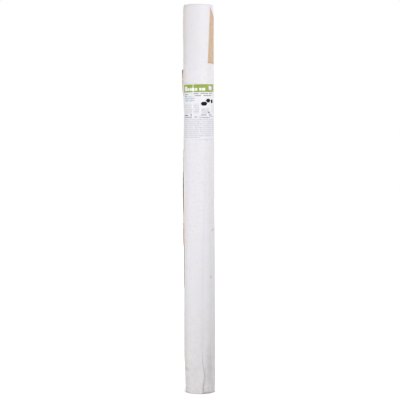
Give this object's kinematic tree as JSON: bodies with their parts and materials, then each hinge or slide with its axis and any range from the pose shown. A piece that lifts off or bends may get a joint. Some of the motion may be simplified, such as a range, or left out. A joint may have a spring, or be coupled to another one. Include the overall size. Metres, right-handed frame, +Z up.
{
  "type": "roll of breathable roofing membrane",
  "caption": "Roll of white nonwoven roofing membrane on a paperboard core, standing on end, with a wrapped paper label and strips of brown packing tape.",
  "frame": {"origin": "on the axis of the roll at the end it stands on", "axes": "+Z up along the roll's axis, -Y towards the front with the label, +X to the viewer's right"},
  "size_m": [0.1215, 0.1194, 1.5],
  "materials": {
    "membrane": "matte",
    "core": "matte",
    "label": "gloss",
    "packing_tape": "satin",
    "start_tape": "satin"
  },
  "bodies": {
    "root": {"core_tube": "core", "start_tape": "start_tape", "membrane": "membrane", "label": "label", "head_tape": "packing_tape", "side_tape_upper": "packing_tape", "side_tape_lower": "packing_tape"}
  },
  "joints": []
}
